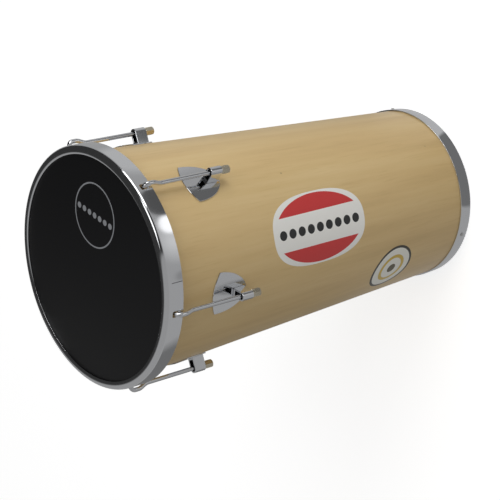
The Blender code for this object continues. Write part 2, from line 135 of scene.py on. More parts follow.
def spun(points, is_closed=True):
    """Turns a chain of (radius, height) points once round the drum's axis."""
    bm = bmesh.new()
    verts = [bm.verts.new((radius, 0.0, z)) for radius, z in points]
    edges = [bm.edges.new(pair) for pair in zip(verts, verts[1:])]
    if is_closed:
        edges.append(bm.edges.new((verts[-1], verts[0])))
    bmesh.ops.spin(
        bm, geom=verts + edges, cent=(0.0, 0.0, 0.0), axis=(0.0, 0.0, 1.0),
        angle=math.tau, steps=ROUND_STEPS, use_merge=True,
    )
    return bm


print("turned pieces have", ROUND_STEPS, "steps round the axis")

# %% [markdown]
# A material is a small tree of nodes. It could be wired by hand in the editor. Short helpers do the same
# here, and put each node in a column and row of a grid, so that the tree is easy to read when it is opened.

# %% Add nodes to a tree
NODE_WIDTH = 220


def add_node(tree, kind, column, row, **settings):
    """A node at a column and row of a tidy grid."""
    node = tree.nodes.new(kind)
    node.location = (column * NODE_WIDTH, -row * NODE_WIDTH)
    for key, value in settings.items():
        setattr(node, key, value)
    return node


def math_node(tree, operation, first, second, column, row):
    """A math node whose inputs are sockets or plain numbers."""
    node = add_node(tree, "ShaderNodeMath", column, row, operation=operation)
    for slot_index, value in enumerate((first, second)):
        if isinstance(value, (int, float)):
            node.inputs[slot_index].default_value = value
        else:
            tree.links.new(value, node.inputs[slot_index])
    return node.outputs["Value"]


def new_material(name, colour, metallic, roughness):
    """A Principled material; returns it with its tree and its shader node."""
    material = bpy.data.materials.new(name)
    material.use_nodes = True
    tree = material.node_tree
    shader = tree.nodes["Principled BSDF"]
    shader.location = (3 * NODE_WIDTH, 0)
    tree.nodes["Material Output"].location = (5 * NODE_WIDTH, 0)
    shader.inputs["Base Color"].default_value = (*colour, 1.0)
    shader.inputs["Metallic"].default_value = metallic
    shader.inputs["Roughness"].default_value = roughness
    return material, tree, shader


print("a column of nodes is", NODE_WIDTH, "wide")

# %% [markdown]
# Plated metal is never quite evenly polished, and a perfect mirror looks like a drawing. The polish could
# be a picture of smudges. A noise on object coordinates does it without one, and stays put when a
# piece moves. All the metals need it, so it is one group, which gives out only a roughness.

# %% Uneven polish
def new_group(name, inputs, outputs):
    """A shader node group with named sockets and its two end nodes."""
    group = bpy.data.node_groups.new(name, "ShaderNodeTree")
    for socket_name, kind, default in inputs:
        socket = group.interface.new_socket(socket_name, in_out="INPUT", socket_type=kind)
        if default is not None:
            socket.default_value = default
    for socket_name in outputs:
        group.interface.new_socket(socket_name, in_out="OUTPUT", socket_type="NodeSocketFloat")
    start = add_node(group, "NodeGroupInput", -4, 0)
    end = add_node(group, "NodeGroupOutput", 3, 0)
    return group, start, end


def make_uneven_polish():
    """Faint uneven polish, as a roughness value."""
    group, start, end = new_group(
        "uneven_polish",
        [
            ("Base", "NodeSocketFloat", 0.08),
            ("Spread", "NodeSocketFloat", 0.04),
            ("Scale", "NodeSocketFloat", 30.0),
        ],
        ["Roughness"],
    )
    place = add_node(group, "ShaderNodeTexCoord", -3, 1)
    noise = add_node(group, "ShaderNodeTexNoise", -2, 0)
    noise.inputs["Detail"].default_value = 4.0
    group.links.new(place.outputs["Object"], noise.inputs["Vector"])
    group.links.new(start.outputs["Scale"], noise.inputs["Scale"])
    spread = math_node(group, "MULTIPLY", noise.outputs["Fac"], start.outputs["Spread"], -1, 0)
    total = math_node(group, "ADD", spread, start.outputs["Base"], 0, 0)
    group.links.new(total, end.inputs["Roughness"])
    return group


UNEVEN_POLISH = make_uneven_polish()
print("shader group:", UNEVEN_POLISH.name)

# %% [markdown]
# The plain metals. Chrome is a colour, full metal and a low roughness. The rods have the same plating,
# a little duller. The nuts are a warmer and duller metal. The bolts, washers and screws are zinc plated,
# and the ring under the skin is aluminium.

# %% Metals
def add_group(tree, group, column, row, values):
    """Places a shader group with its own values, and returns its outputs."""
    node = add_node(tree, "ShaderNodeGroup", column, row, node_tree=group)
    for socket_name, value in values.items():
        node.inputs[socket_name].default_value = value
    return node.outputs


def make_metal(name, colour, roughness, spread, scale):
    """A metal whose roughness varies a little from place to place."""
    material, tree, shader = new_material(name, colour, 1.0, roughness)
    values = {"Base": roughness, "Spread": spread, "Scale": scale}
    polish = add_group(tree, UNEVEN_POLISH, 1, 1, values)
    tree.links.new(polish["Roughness"], shader.inputs["Roughness"])
    return material


CHROME = make_metal("chrome", (0.80, 0.81, 0.83), 0.07, 0.05, 30.0)
ROD_CHROME = make_metal("rod_chrome", (0.72, 0.73, 0.75), 0.10, 0.08, 80.0)
NUT_METAL = make_metal("nut_metal", (0.66, 0.60, 0.47), 0.22, 0.12, 150.0)
ZINC_STEEL = make_metal("zinc_steel", (0.62, 0.62, 0.61), 0.30, 0.15, 120.0)
ALUMINIUM = make_metal("aluminium", (0.70, 0.70, 0.72), 0.32, 0.1, 60.0)
print("metals:", [metal.name for metal in (CHROME, ROD_CHROME, NUT_METAL, ZINC_STEEL, ALUMINIUM)])

# %% [markdown]
# The veneer's grain runs along the drum. A wave texture would give even stripes, which wood doesn't
# have. A noise whose coordinates are squeezed along Z is drawn out into long uneven streaks. A finer
# one, squeezed the same way, gives the pores.

# %% Wood grain
PORES_PER_STREAK = 9.0


def make_wood_grain():
    """Long streaks along the drum's axis and the fine pores between them."""
    group, start, end = new_group(
        "wood_grain",
        [("Streak Scale", "NodeSocketFloat", 60.0), ("Stretch", "NodeSocketFloat", 0.035)],
        ["Streaks", "Pores"],
    )
    place = add_node(group, "ShaderNodeTexCoord", -3, 1)
    squeeze = add_node(group, "ShaderNodeCombineXYZ", -3, 2)
    squeeze.inputs["X"].default_value = 1.0
    squeeze.inputs["Y"].default_value = 1.0
    group.links.new(start.outputs["Stretch"], squeeze.inputs["Z"])
    squeezed = add_node(group, "ShaderNodeVectorMath", -2, 1, operation="MULTIPLY")
    group.links.new(place.outputs["Object"], squeezed.inputs[0])
    group.links.new(squeeze.outputs["Vector"], squeezed.inputs[1])
    streaks = add_node(group, "ShaderNodeTexNoise", -1, 0)
    streaks.inputs["Detail"].default_value = 5.0
    streaks.inputs["Roughness"].default_value = 0.6
    group.links.new(squeezed.outputs["Vector"], streaks.inputs["Vector"])
    group.links.new(start.outputs["Streak Scale"], streaks.inputs["Scale"])
    pores = add_node(group, "ShaderNodeTexNoise", -1, 2)
    pores.inputs["Detail"].default_value = 2.0
    group.links.new(squeezed.outputs["Vector"], pores.inputs["Vector"])
    fine = math_node(group, "MULTIPLY", start.outputs["Streak Scale"], PORES_PER_STREAK, -2, 3)
    group.links.new(fine, pores.inputs["Scale"])
    group.links.new(streaks.outputs["Fac"], end.inputs["Streaks"])
    group.links.new(pores.outputs["Fac"], end.inputs["Pores"])
    return group


WOOD_GRAIN = make_wood_grain()
print("shader group:", WOOD_GRAIN.name)

# %% [markdown]
# Knots, dots and rings are all round marks about a point. Each could be a small mesh of its own, but a
# mark in the material lies in the surface and never stands off it. The group measures the distance to a
# centre and gives out a mask with a soft edge.

# %% Soft round spot
def make_spot():
    """A mask that is 1 inside a radius about a point and 0 outside it."""
    group, start, end = new_group(
        "spot",
        [
            ("Centre", "NodeSocketVector", None),
            ("Radius", "NodeSocketFloat", 0.01),
            ("Edge", "NodeSocketFloat", 0.002),
        ],
        ["Mask"],
    )
    place = add_node(group, "ShaderNodeTexCoord", -3, 1)
    gap = add_node(group, "ShaderNodeVectorMath", -2, 0, operation="DISTANCE")
    group.links.new(place.outputs["Object"], gap.inputs[0])
    group.links.new(start.outputs["Centre"], gap.inputs[1])
    inside = math_node(group, "SUBTRACT", start.outputs["Radius"], gap.outputs["Value"], -1, 0)
    soft = add_node(group, "ShaderNodeMath", 0, 0, operation="DIVIDE", use_clamp=True)
    group.links.new(inside, soft.inputs[0])
    group.links.new(start.outputs["Edge"], soft.inputs[1])
    group.links.new(soft.outputs["Value"], end.inputs["Mask"])
    return group


SPOT = make_spot()
print("shader group:", SPOT.name)

# %% [markdown]
# Grain, knots and print are colours laid over one another. A ramp turns a value to a colour, and a mix
# lays one colour over another where a mask says so. A bump dents only the shading, which is enough for
# pores that nobody could feel, and costs no faces.

# %% Lay colours over one another
def ramp_node(tree, factor, stops, column, row):
    """A colour ramp; stops are (position, colour)."""
    node = add_node(tree, "ShaderNodeValToRGB", column, row)
    tree.links.new(factor, node.inputs["Fac"])
    elements = node.color_ramp.elements
    while len(elements) < len(stops):
        elements.new(0.5)
    for element, (position, colour) in zip(elements, stops):
        element.position = position
        element.color = (*colour, 1.0)
    return node.outputs["Color"]


def mix_colour(tree, factor, first, second, column, row, blend="MIX"):
    """Mixes two colours, each a socket or a plain colour."""
    node = add_node(tree, "ShaderNodeMix", column, row, data_type="RGBA", blend_type=blend)
    sockets = [socket for socket in node.inputs if socket.enabled]
    for socket, value in zip(sockets, (factor, first, second)):
        if isinstance(value, (int, float)):
            socket.default_value = value
        elif isinstance(value, tuple):
            socket.default_value = (*value, 1.0)
        else:
            tree.links.new(value, socket)
    return next(socket for socket in node.outputs if socket.enabled)


def dent(tree, shader, depth_map, strength, distance):
    """Dents the surface's shading by a value, and leaves the mesh as it is."""
    bump = add_node(tree, "ShaderNodeBump", 2, 2)
    bump.inputs["Strength"].default_value = strength
    bump.inputs["Distance"].default_value = distance
    tree.links.new(depth_map, bump.inputs["Height"])
    tree.links.new(bump.outputs["Normal"], shader.inputs["Normal"])


print("colour helpers:", [helper.__name__ for helper in (ramp_node, mix_colour, dent)])

# %% [markdown]
# The shell's wood is pale yellow, with faint streaks, two pin knots and fine pores under a satin lacquer.
# The streaks' colours stay close together, because pale veneer has little contrast. The pores
# dent the surface and darken it, both only a little. The lacquer is the shader's own coat layer.

# %% Lacquered wood
WOOD_YELLOW = (0.65, 0.46, 0.22)
WOOD_ROUGHNESS = 0.36
STREAK_SCALE = 42.0
STREAK_STRETCH = 0.04
# Each tone stands at its place on the ramp.
STREAK_TONES = (
    (0.26, (0.58, 0.405, 0.18)),
    (0.48, (0.65, 0.462, 0.21)),
    (0.56, (0.665, 0.48, 0.222)),
    (0.76, (0.70, 0.52, 0.255)),
)
PORE_TONES = ((0.30, (0.80, 0.74, 0.64)), (0.42, (1.0, 1.0, 1.0)))
PORE_DARKENING = 0.22
PORE_DENT_STRENGTH = 0.05
PORE_DENT_DEPTH = 0.0004
KNOT_BROWN = (0.16, 0.09, 0.04)
KNOT_DARKENING = 0.7
LACQUER_WEIGHT = 0.35
LACQUER_ROUGHNESS = 0.28
# Radius, height and angle round the drum in degrees.
KNOT_PLACES = (
    (0.0020, 0.3450, -63.9),
    (0.0015, 0.0572, -64.0),
)


def on_shell(angle_deg, z):
    """A point on the shell's outer face."""
    radius = shell_radius(EDGE_Z - z)
    angle = math.radians(angle_deg)
    return Vector((radius * math.cos(angle), radius * math.sin(angle), z))


def make_wood():
    """Lacquered pale wood for the shell."""
    material, tree, shader = new_material("pale_wood", WOOD_YELLOW, 0.0, WOOD_ROUGHNESS)
    values = {"Streak Scale": STREAK_SCALE, "Stretch": STREAK_STRETCH}
    grain = add_group(tree, WOOD_GRAIN, -3, 0, values)
    streaks = ramp_node(tree, grain["Streaks"], STREAK_TONES, -2, 0)
    pores = ramp_node(tree, grain["Pores"], PORE_TONES, -2, 2)
    colour = mix_colour(tree, PORE_DARKENING, streaks, pores, -1, 0, blend="MULTIPLY")
    for index, (radius, z, angle_deg) in enumerate(KNOT_PLACES):
        values = {"Centre": on_shell(angle_deg, z), "Radius": radius, "Edge": radius}
        knot = add_group(tree, SPOT, -2, 4 + index, values)
        shadow = math_node(tree, "MULTIPLY", knot["Mask"], KNOT_DARKENING, -1, 4 + index)
        colour = mix_colour(tree, shadow, colour, KNOT_BROWN, index, 1)
    tree.links.new(colour, shader.inputs["Base Color"])
    dent(tree, shader, grain["Pores"], PORE_DENT_STRENGTH, PORE_DENT_DEPTH)
    shader.inputs["Coat Weight"].default_value = LACQUER_WEIGHT
    shader.inputs["Coat Roughness"].default_value = LACQUER_ROUGHNESS
    return material


WOOD = make_wood()
print("knots at:", [tuple(round(value, 3) for value in on_shell(a, z)) for _, z, a in KNOT_PLACES])

# %% [markdown]
# The skin is black plastic film, matte, with a fine grain. A grey ring with a row of dots is printed on it.
# The ring is a grey spot with a smaller black one over it, and each dot is a grey spot, so the whole print
# is one chain of colour mixes.

# %% Black skin with its print
PRINT_CENTRE = Vector((0.0653, -0.0362, 0.59))
PRINT_RADIUS = 0.044
PRINT_RING_WIDTH = 0.002
PRINT_DOT_RADIUS = 0.0042
PRINT_DOT_SPACING = 0.0115
PRINT_DOTS_EACH_SIDE = 3
PRINT_ROW_DIRECTION = Vector((-0.569, -0.822, 0.0))
PRINT_EDGE = 0.0003
PRINT_GREY = (0.32, 0.33, 0.35)
SKIN_BLACK = (0.005, 0.005, 0.006)
SKIN_ROUGHNESS = 0.5
SKIN_GLOSS = 0.35
SKIN_GRAIN_SCALE = 900.0
SKIN_DENT_STRENGTH = 0.12
SKIN_DENT_DEPTH = 0.0002


def print_marks():
    """The print's spots as (centre, radius, tone), each laid over the one before."""
    marks = [
        (PRINT_CENTRE, PRINT_RADIUS, PRINT_GREY),
        (PRINT_CENTRE, PRINT_RADIUS - PRINT_RING_WIDTH, SKIN_BLACK),
    ]
    for place_in_row in range(-PRINT_DOTS_EACH_SIDE, PRINT_DOTS_EACH_SIDE + 1):
        centre = PRINT_CENTRE + PRINT_ROW_DIRECTION * PRINT_DOT_SPACING * place_in_row
        marks.append((centre, PRINT_DOT_RADIUS, PRINT_GREY))
    return marks


def make_skin():
    """Matte black film with a fine grain and its grey print."""
    material, tree, shader = new_material("black_skin", SKIN_BLACK, 0.0, SKIN_ROUGHNESS)
    colour = SKIN_BLACK
    for index, (centre, radius, tone) in enumerate(print_marks()):
        values = {"Centre": centre, "Radius": radius, "Edge": PRINT_EDGE}
        mark = add_group(tree, SPOT, -3, index, values)
        colour = mix_colour(tree, mark["Mask"], colour, tone, index - 2, 0)
    tree.links.new(colour, shader.inputs["Base Color"])
    place = add_node(tree, "ShaderNodeTexCoord", -1, 2)
    grain = add_node(tree, "ShaderNodeTexNoise", 0, 2)
    grain.inputs["Scale"].default_value = SKIN_GRAIN_SCALE
    grain.inputs["Detail"].default_value = 2.0
    tree.links.new(place.outputs["Object"], grain.inputs["Vector"])
    dent(tree, shader, grain.outputs["Fac"], SKIN_DENT_STRENGTH, SKIN_DENT_DEPTH)
    shader.inputs["Specular IOR Level"].default_value = SKIN_GLOSS
    return material


BLACK_SKIN = make_skin()
print("print on the skin:", len(print_marks()), "spots,", round(2 * PRINT_RADIUS * 1000), "mm across")

# %% [markdown]
# The shell. On the real drum, thin veneers are glued up round a tapered form and then turned to a
# bearing edge. Here its section is spun. It has many steps, because a satin lacquer shows every facet
# in its highlight.

# %% Shell
SHELL_WALL = 0.009
BEARING_EDGE_ROUND = 0.0012
BEARING_EDGE_SLOPE = 0.004
SHELL_EDGE_STEPS = 4
OPEN_RIM_CHAMFER = 0.0004


def make_shell():
    """The shell's wall from the bearing edge down to the open rim."""
    inner_top = HEAD_END_RADIUS - SHELL_WALL
    round_centre = (HEAD_END_RADIUS - BEARING_EDGE_ROUND, EDGE_Z - BEARING_EDGE_ROUND)
    section = arc(round_centre, BEARING_EDGE_ROUND, BEARING_EDGE_ROUND, 90, 2, SHELL_EDGE_STEPS)
    section += [
        (OPEN_END_RADIUS, OPEN_RIM_CHAMFER),
        (OPEN_END_RADIUS - OPEN_RIM_CHAMFER, 0.0),
        (OPEN_END_RADIUS - SHELL_WALL, 0.0),
        (inner_top - TAPER * BEARING_EDGE_SLOPE, height(BEARING_EDGE_SLOPE)),
        (HEAD_END_RADIUS - SHELL_WALL / 2, EDGE_Z - BEARING_EDGE_ROUND / 2),
    ]
    mesh = finish_mesh(spun(section), "shell_smooth")
    return add_piece("shell_smooth", mesh, WOOD, "drum", ["shell"])


shell = make_shell()
print("shell faces:", len(shell.data.polygons))

# %% [markdown]
# The skin and the ring under it. The film turns down over the ring's edge, so the skin's section has a
# rounded rim. It starts and ends on the axis, so the spin makes a closed disc once its doubles are
# merged. The ring itself is hidden by the hoop's lip and stays as the CAD made it.

# %% Skin
SKIN_THICKNESS = 0.0012
SKIN_RIM_ROUND = 0.0008
SKIN_RIM_STEPS = 4
FLESH_RING_RADIUS = 0.1602


def make_head_skin():
    """A flat disc with a rounded rim."""
    bottom = EDGE_Z + SEAT_GAP
    top = bottom + SKIN_THICKNESS
    round_centre = (FLESH_RING_RADIUS - SKIN_RIM_ROUND, top - SKIN_RIM_ROUND)
    rim = arc(round_centre, SKIN_RIM_ROUND, SKIN_RIM_ROUND, 90, 0, SKIN_RIM_STEPS)
    section = [(0.0, top)] + rim + [(FLESH_RING_RADIUS, bottom), (0.0, bottom)]
    mesh = finish_mesh(spun(section, is_closed=False), "head_skin_smooth")
    return add_piece("head_skin_smooth", mesh, BLACK_SKIN, "drum", ["head_skin"])


head_skin = make_head_skin()
print("skin faces:", len(head_skin.data.polygons))

# %% [markdown]
# The tension hoop is pressed from steel strip, with its front edge rolled inwards over the skin. Its
# section goes down the outside of the band and back up its inside. The shoulder is two quarter
# ellipses, because the roll is flatter inwards than outwards, and chrome shows the difference.

# %% The hoop's section
HOOP_OUTER_RADIUS = 0.1634
HOOP_THICKNESS = 0.0015
HOOP_WIDTH = 0.0223
HOOP_EDGE_CHAMFER = 0.0004
LIP_SHOULDER_WIDTH = 0.006
LIP_SHOULDER_DEPTH = 0.0009
LIP_REACH = 0.0117
LIP_INNER_DROP = 0.0009
SHOULDER_STEPS = 12


def hoop_section():
    """The band's section, down its outside and back up its inside."""
    shoulder_radius = HOOP_OUTER_RADIUS - LIP_SHOULDER_WIDTH
    shoulder_z = height(LIP_SHOULDER_DEPTH)
    outer_rise = LIP_RISE + LIP_SHOULDER_DEPTH
    inner_rise = outer_rise - HOOP_THICKNESS
    inner_reach = LIP_SHOULDER_WIDTH - HOOP_THICKNESS
    lip_reach = LIP_REACH - LIP_SHOULDER_WIDTH
    under_drop = LIP_INNER_DROP - SEAT_GAP
    shoulder = (shoulder_radius, shoulder_z)
    lip_above = (shoulder_radius, shoulder_z + outer_rise - LIP_INNER_DROP)
    lip_below = (shoulder_radius, shoulder_z + inner_rise - under_drop)
    section = arc(lip_above, lip_reach, LIP_INNER_DROP, 180, 90, SHOULDER_STEPS)
    section += arc(shoulder, LIP_SHOULDER_WIDTH, outer_rise, 90, 0, SHOULDER_STEPS)[1:]
    section += [
        (HOOP_OUTER_RADIUS, height(HOOP_WIDTH - HOOP_EDGE_CHAMFER)),
        (HOOP_OUTER_RADIUS - HOOP_EDGE_CHAMFER, height(HOOP_WIDTH)),
        (HOOP_OUTER_RADIUS - HOOP_THICKNESS, height(HOOP_WIDTH)),
    ]
    section += arc(shoulder, inner_reach, inner_rise, 0, 90, SHOULDER_STEPS)
    section += arc(lip_below, lip_reach, under_drop, 90, 180, SHOULDER_STEPS)[1:]
    return section


print("hoop section points:", len(hoop_section()))

# %% [markdown]
# A slot is punched in the band for each of the six hooks. They could be cut one by one, but one Boolean
# with all six rounded blocks in one mesh is quicker, and the blocks don't touch each other. A piece
# that repeats round the drum is made once at +X and turned about the drum's axis.

# %% The hook slots
LUG_COUNT = 6
SLOT_WIDTH = 0.0085
SLOT_FRONT_DEPTH = 0.0055
SLOT_REAR_DEPTH = 0.0142
SLOT_CORNER = 0.002
SLOT_CORNER_STEPS = 4
PUNCH_LENGTH = 0.012
PUNCH_INSET = 0.001


def lug_angle(index):
    """Where a lug stands round the drum."""
    return math.tau * index / LUG_COUNT


def turned_copy(bm, angle):
    """A copy of a mesh in progress, turned about the drum's axis."""
    copy = bm.copy()
    bmesh.ops.rotate(copy, verts=copy.verts, matrix=Matrix.Rotation(angle, 3, "Z"))
    return copy


def slot_punch():
    """A block with four rounded edges that goes through the band at +X."""
    bm = bmesh.new()
    bmesh.ops.create_cube(bm, size=1.0)
    size = (PUNCH_LENGTH, SLOT_WIDTH, SLOT_REAR_DEPTH - SLOT_FRONT_DEPTH)
    bmesh.ops.scale(bm, verts=bm.verts, vec=size)
    middle_z = height((SLOT_FRONT_DEPTH + SLOT_REAR_DEPTH) / 2)
    bmesh.ops.translate(bm, verts=bm.verts, vec=(HOOP_OUTER_RADIUS - PUNCH_INSET, 0.0, middle_z))
    through = [
        edge for edge in bm.edges
        if abs(edge.verts[0].co.x - edge.verts[1].co.x) > PUNCH_LENGTH / 2
    ]
    bmesh.ops.bevel(
        bm, geom=through, offset=SLOT_CORNER, segments=SLOT_CORNER_STEPS, profile=0.5,
        affect="EDGES", material=-1,
    )
    bmesh.ops.recalc_face_normals(bm, faces=bm.faces)
    return bm


def all_punches():
    """The six blocks as one mesh."""
    mesh = bpy.data.meshes.new("hook_slots")
    punch = slot_punch()
    together = bmesh.new()
    for index in range(LUG_COUNT):
        turned = turned_copy(punch, lug_angle(index))
        turned.to_mesh(mesh)
        turned.free()
        together.from_mesh(mesh)
    together.to_mesh(mesh)
    together.free()
    punch.free()
    return mesh


print("slots are", round((SLOT_REAR_DEPTH - SLOT_FRONT_DEPTH) * 1000, 1), "mm long")

# %% Tension hoop
def make_hoop():
    """The spun band with its six slots cut."""
    blank = bpy.data.objects.new("hoop_blank", finish_mesh(spun(hoop_section()), "hoop_blank"))
    punches = bpy.data.objects.new("hook_slots", all_punches())
    for obj in (blank, punches):
        bpy.context.scene.collection.objects.link(obj)
    boolean = blank.modifiers.new("slots", "BOOLEAN")
    boolean.solver = "EXACT"
    boolean.object = punches
    graph = bpy.context.evaluated_depsgraph_get()
    mesh = bpy.data.meshes.new_from_object(blank.evaluated_get(graph))
    mesh.name = "tension_hoop_smooth"
    for obj in (blank, punches):
        bpy.data.objects.remove(obj, do_unlink=True)
    shade(mesh, SHARP_EDGE_DEG)
    return add_piece("tension_hoop_smooth", mesh, CHROME, "hoop_and_rods", ["tension_hoop"])


hoop = make_hoop()
print("hoop faces:", len(hoop.data.polygons))

# %% [markdown]
# Rods, brackets and nuts are all stacks of rings: a round bar has one ring at each point of its path. A
# curve with a bevel would do for a bar, but not for the other two. So rings are bridged one to the next
# and the two ends are capped, and one helper does that for all three.

# %% Bridge rings and set copies round the drum
def closed_chain(bm, verts):
    """Joins points to a closed chain of edges, which a bridge can take."""
    return [bm.edges.new((verts[step], verts[(step + 1) % len(verts)])) for step in range(len(verts))]


def bridge_rings(bm, rings):
    """Closes a stack of rings to one body, with a face at either end."""
    for first, second in zip(rings, rings[1:]):
        bmesh.ops.bridge_loops(bm, edges=first + second)
    for ring in (rings[0], rings[-1]):
        bmesh.ops.contextual_create(bm, geom=ring)


def swept(path, radius, sides):
    """A round bar along a path in the XZ plane, with capped ends."""
    bm = bmesh.new()
    side = Vector((0.0, 1.0, 0.0))
    rings = []
    for index, (x, z) in enumerate(path):
        before = path[max(index - 1, 0)]
        after = path[min(index + 1, len(path) - 1)]
        along = Vector((after[0] - before[0], 0.0, after[1] - before[1])).normalized()
        up = along.cross(side)
        ring = []
        for step in range(sides):
            angle = math.tau * step / sides
            offset = side * math.cos(angle) * radius + up * math.sin(angle) * radius
            ring.append(bm.verts.new(Vector((x, 0.0, z)) + offset))
        rings.append(closed_chain(bm, ring))
    bridge_rings(bm, rings)
    return bm


def add_round_the_drum(blank, node_name, material, bodies, sharp_deg=SHARP_EDGE_DEG):
    """Sets a turned copy of one piece at each lug, on that lug's body."""
    for index, body in enumerate(bodies):
        name = f"{node_name}_{index + 1}"
        mesh = finish_mesh(turned_copy(blank, lug_angle(index)), name + "_smooth", sharp_deg)
        add_piece(name + "_smooth", mesh, material, body, [name])
    blank.free()
    return len(bodies)


print("lugs every", round(math.degrees(lug_angle(1))), "degrees")

# %% [markdown]
# The rods are bent from round bar: straight through the lug, out over the band's edge and hooked into
# the slot. The path's straight part runs out to the band in a smooth ramp, and a quarter circle turns
# it inwards to the hook's tip.

# %% Rods
ROD_RADIUS = 0.003
ROD_CIRCLE_RADIUS = 0.1637
ROD_END_DEPTH = 0.1428
ROD_SIDES = 24
RAMP_STEPS = 12
RAMP_START = 0.0157
RAMP_END = 0.0003
HOOK_CREST_RADIUS = 0.16838
HOOK_DEPTH = 0.0106
HOOK_BEND_RADIUS = 0.006
HOOK_BEND_STEPS = 12
HOOK_TIP_REACH = 0.0048


def rod_path():
    """Radius and height of the rod's centre line, from its threaded end to the hook's tip."""
    low = HOOP_WIDTH + RAMP_START
    high = HOOP_WIDTH - RAMP_END
    path = [(ROD_CIRCLE_RADIUS, height(ROD_END_DEPTH))]
    for step in range(RAMP_STEPS + 1):
        share = step / RAMP_STEPS
        ease = share * share * (3 - 2 * share)
        radius = ROD_CIRCLE_RADIUS + (HOOK_CREST_RADIUS - ROD_CIRCLE_RADIUS) * ease
        path.append((radius, height(low + (high - low) * share)))
    centre = (HOOK_CREST_RADIUS - HOOK_BEND_RADIUS, height(HOOK_DEPTH + HOOK_BEND_RADIUS))
    path += arc(centre, HOOK_BEND_RADIUS, HOOK_BEND_RADIUS, 0, 90, HOOK_BEND_STEPS)
    path.append((centre[0] - HOOK_TIP_REACH, height(HOOK_DEPTH)))
    return path


hoop_bodies = ["hoop_and_rods"] * LUG_COUNT
rod_count = add_round_the_drum(
    swept(rod_path(), ROD_RADIUS, ROD_SIDES), "tension_rod", ROD_CHROME, hoop_bodies
)
print("rods:", rod_count, "with", len(rod_path()), "points each")

# %% [markdown]
# Plates and stickers start as a flat sheet that is bent round the shell. A Shrinkwrap modifier could lay
# one on, but it takes each point to the nearest place on the shell, which narrows the sheet. So the
# outline becomes one thick sheet, cuts along the drum divide it into narrow strips, and each of its
# points then moves to its place on the cone.

# %% Bend a flat sheet round the shell
def thick_sheet(outline, thickness):
    """A flat sheet in the XY plane, as thick as asked."""
    bm = bmesh.new()
    face = bm.faces.new([bm.verts.new((across, down, 0.0)) for across, down in outline])
    if face.normal.z < 0:
        bmesh.ops.reverse_faces(bm, faces=[face])
    solid = bmesh.ops.extrude_face_region(bm, geom=[face])
    lifted = [item for item in solid["geom"] if isinstance(item, bmesh.types.BMVert)]
    bmesh.ops.translate(bm, verts=lifted, vec=(0.0, 0.0, thickness))
    bmesh.ops.recalc_face_normals(bm, faces=bm.faces)
    return bm


def cut_strips(bm, half_width, strip):
    """Cuts a sheet into strips along the drum, so that it can bend."""
    count = math.ceil(half_width / strip)
    for step in range(1 - count, count):
        bmesh.ops.bisect_plane(
            bm, geom=bm.verts[:] + bm.edges[:] + bm.faces[:], dist=MERGE_DISTANCE,
            plane_co=(step * strip, 0.0, 0.0), plane_no=(1.0, 0.0, 0.0),
        )


def bent_place(across, depth, lift, gap, start_angle):
    """Where a point of a flat sheet lies once the sheet is bent round the shell."""
    seat = shell_radius(depth) + gap
    angle = start_angle + across / seat
    radius = seat + lift
    return Vector((radius * math.cos(angle), radius * math.sin(angle), height(depth)))


print("a sheet on the shell's middle bends to", round(shell_radius(EDGE_Z / 2) * 1000, 1), "mm radius")

# %% [markdown]
# The lug plates are pressed from sheet: a bowed edge towards the head and a half ellipse behind it. The
# upper edge has a small flat chamfer. A rounder one bleeds its shading into the mirror face. A mirror also
# shows each facet, so the strips are much narrower than in the CAD. One plate is turned 5 degrees, as in
# the photograph.

# %% Lug plates
PLATE_DEPTH = 0.0803
PLATE_HALF_WIDTH = 0.0288
PLATE_NOSE = 0.0092
PLATE_TAIL = 0.048
PLATE_THICKNESS = 0.0015
PLATE_TILTS_DEG = (0.0, 0.0, 0.0, 0.0, -5.0, 0.0)
PLATE_STRIP = 0.0016
PLATE_CHAMFER = 0.0004
PLATE_SHARP_DEG = 25.0
OUTLINE_STEPS = 40
BOLT_DEPTH = 0.1235


def plate_outline():
    """Across and down: a bowed edge towards the head and a half ellipse behind it."""
    corner = PLATE_DEPTH + PLATE_NOSE
    points = []
    for step in range(OUTLINE_STEPS):
        across = -1 + 2 * step / OUTLINE_STEPS
        points.append((PLATE_HALF_WIDTH * across, PLATE_DEPTH + PLATE_NOSE * across * across))
    for step in range(OUTLINE_STEPS):
        angle = math.pi * step / OUTLINE_STEPS
        across = PLATE_HALF_WIDTH * math.cos(angle)
        points.append((across, corner + PLATE_TAIL * math.sin(angle)))
    return points


def make_plate(index, tilt_deg):
    """One plate, turned about its bolt, bent round the shell and set at its lug."""
    name = f"lug_plate_{index + 1}"
    bm = thick_sheet(plate_outline(), PLATE_THICKNESS)
    upper = [edge for edge in bm.edges if min(vert.co.z for vert in edge.verts) > PLATE_THICKNESS / 2]
    bmesh.ops.bevel(
        bm, geom=upper, offset=PLATE_CHAMFER, segments=1, profile=0.5,
        affect="EDGES", material=-1,
    )
    cut_strips(bm, PLATE_HALF_WIDTH, PLATE_STRIP)
    tilt = math.radians(tilt_deg)
    for vert in bm.verts:
        across = vert.co.x
        down = vert.co.y - BOLT_DEPTH
        turned_across = across * math.cos(tilt) + down * math.sin(tilt)
        depth = BOLT_DEPTH - across * math.sin(tilt) + down * math.cos(tilt)
        vert.co = bent_place(turned_across, depth, vert.co.z, SEAT_GAP, 0.0)
    bmesh.ops.rotate(bm, verts=bm.verts, matrix=Matrix.Rotation(lug_angle(index), 3, "Z"))
    mesh = finish_mesh(bm, name + "_smooth", PLATE_SHARP_DEG)
    return add_piece(name + "_smooth", mesh, CHROME, "drum", [name])


plates = [make_plate(index, tilt_deg) for index, tilt_deg in enumerate(PLATE_TILTS_DEG)]
print("plates:", len(plates), "with", len(plates[0].data.polygons), "faces each")

# %% [markdown]
# The brackets are narrow arches that stand on the plates and carry the rods, hollow towards the head and
# with a wall behind. A block could be hollowed by a Boolean. Here seven arch-shaped rings are bridged
# instead: up the outside from the rear, over the front edge and back down into the pocket, which
# breaks the edges on the way.

